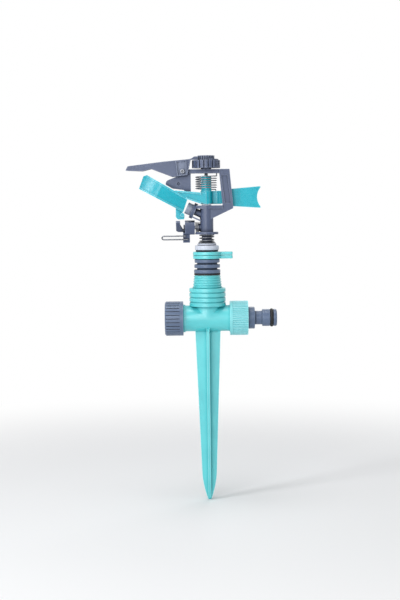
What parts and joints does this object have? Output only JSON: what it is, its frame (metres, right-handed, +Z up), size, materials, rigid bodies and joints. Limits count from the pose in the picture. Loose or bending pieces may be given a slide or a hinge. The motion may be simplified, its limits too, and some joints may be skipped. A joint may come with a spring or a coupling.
{
  "type": "impact sprinkler",
  "caption": "Impact lawn sprinkler on a ground spike, with a sprung swinging arm, tilting jet deflector, range knob, part-circle trip and hose plug",
  "frame": {"origin": "on the spin axis at soil level, under the tee", "axes": "+Z up along the spin axis, the jet leaves toward -X and up, +X toward the hose plug, -Y is the front"},
  "size_m": [0.1412, 0.0344, 0.3277],
  "materials": {
    "turquoise_plastic": "satin injection-moulded turquoise",
    "grey_plastic": "satin injection-moulded slate grey",
    "dark_plastic": "matt dark grey",
    "black_rubber": "soft black sealing rubber",
    "white_nylon": "white nylon",
    "spring_steel": "drawn stainless wire"
  },
  "bodies": {
    "base": {"spike_base": "turquoise_plastic", "bearing_nipple": "grey_plastic", "neck_seal": "black_rubber", "collar_washer": "dark_plastic", "bearing_spacer": "white_nylon", "tube_washer": "white_nylon"},
    "head": {"bearing_tube": "grey_plastic", "tube_seal": "black_rubber", "thrust_washer": "white_nylon", "spring_washer": "dark_plastic", "bearing_spring": "spring_steel", "head_body": "grey_plastic", "nozzle": "grey_plastic", "arm_pivot_pin": "spring_steel", "arm_washer": "white_nylon", "arm_spring": "spring_steel", "deflector_screw": "spring_steel", "trip_pin": "spring_steel", "trip_spring": "spring_steel"},
    "arm": {"impact_arm": "turquoise_plastic"},
    "knob": {"range_knob": "grey_plastic"},
    "flap": {"deflector": "grey_plastic"},
    "trip": {"trip_lever": "grey_plastic"},
    "wire": {"trip_wire": "spring_steel"},
    "lower_collar": {"lower_stop_collar": "turquoise_plastic"},
    "upper_collar": {"upper_stop_collar": "turquoise_plastic"},
    "cap_seat": {"end_cap_washer": "black_rubber"},
    "cap": {"end_cap": "grey_plastic"},
    "inlet_plug": {"inlet_nipple": "grey_plastic", "nipple_o_ring": "black_rubber", "inlet_washer": "black_rubber"},
    "nut": {"inlet_nut": "turquoise_plastic"}
  },
  "joints": [
    {"name": "head_spin", "type": "hinge", "parent": "base", "child": "head", "pos_m": [0, 0, 0.09669], "axis": [0, 0, 1], "continuous": true},
    {"name": "arm_swing", "type": "hinge", "parent": "head", "child": "arm", "pos_m": [0, 0, 0.12514], "axis": [0, 0, 1], "range_deg": [0, 90], "stiffness_Nm_per_rad": 0.02, "springref_deg": -28.65, "deforming": ["arm_spring"]},
    {"name": "knob_turn", "type": "hinge", "parent": "head", "child": "knob", "pos_m": [0, 0, 0.15909], "axis": [0, 0, 1], "range_deg": [0, 270]},
    {"name": "deflector_tilt", "type": "hinge", "parent": "head", "child": "flap", "pos_m": [-0.0223, 0, 0.15599], "axis": [0, -1, 0], "range_deg": [0, 6]},
    {"name": "trip_flip", "type": "hinge", "parent": "head", "child": "trip", "pos_m": [-0.0206, 0, 0.10324], "axis": [-1, 0, 0], "range_deg": [0, 34]},
    {"name": "wire_fold", "type": "hinge", "parent": "trip", "child": "wire", "pos_m": [-0.0179, 0.00313, 0.09301], "axis": [0, -0.9563, -0.2924], "range_deg": [0, 90]},
    {"name": "lower_collar_turn", "type": "hinge", "parent": "base", "child": "lower_collar", "pos_m": [0, 0, 0.07364], "axis": [0, 0, 1], "continuous": true},
    {"name": "upper_collar_turn", "type": "hinge", "parent": "base", "child": "upper_collar", "pos_m": [0, 0, 0.07704], "axis": [0, 0, 1], "continuous": true},
    {"name": "cap_advance", "type": "slide", "parent": "base", "child": "cap_seat", "axis": [-1, 0, 0], "range_m": [0, 0.0126]},
    {"name": "cap_turn", "type": "hinge", "parent": "cap_seat", "child": "cap", "pos_m": [-0.02325, 0, 0.017], "axis": [-1, 0, 0], "range_deg": [0, 2520]},
    {"name": "plug_advance", "type": "slide", "parent": "base", "child": "inlet_plug", "axis": [1, 0, 0], "range_m": [0, 0.009]},
    {"name": "nut_turn", "type": "hinge", "parent": "inlet_plug", "child": "nut", "pos_m": [0.0211, 0, 0.017], "axis": [1, 0, 0], "range_deg": [0, 1800]}
  ],
  "couplings": [
    {"joint": "deflector_tilt", "follows": "knob_turn", "ratio": 0.022222},
    {"joint": "cap_advance", "follows": "cap_turn", "m_per_rad": 0.00028648},
    {"joint": "plug_advance", "follows": "nut_turn", "m_per_rad": 0.00028648}
  ]
}
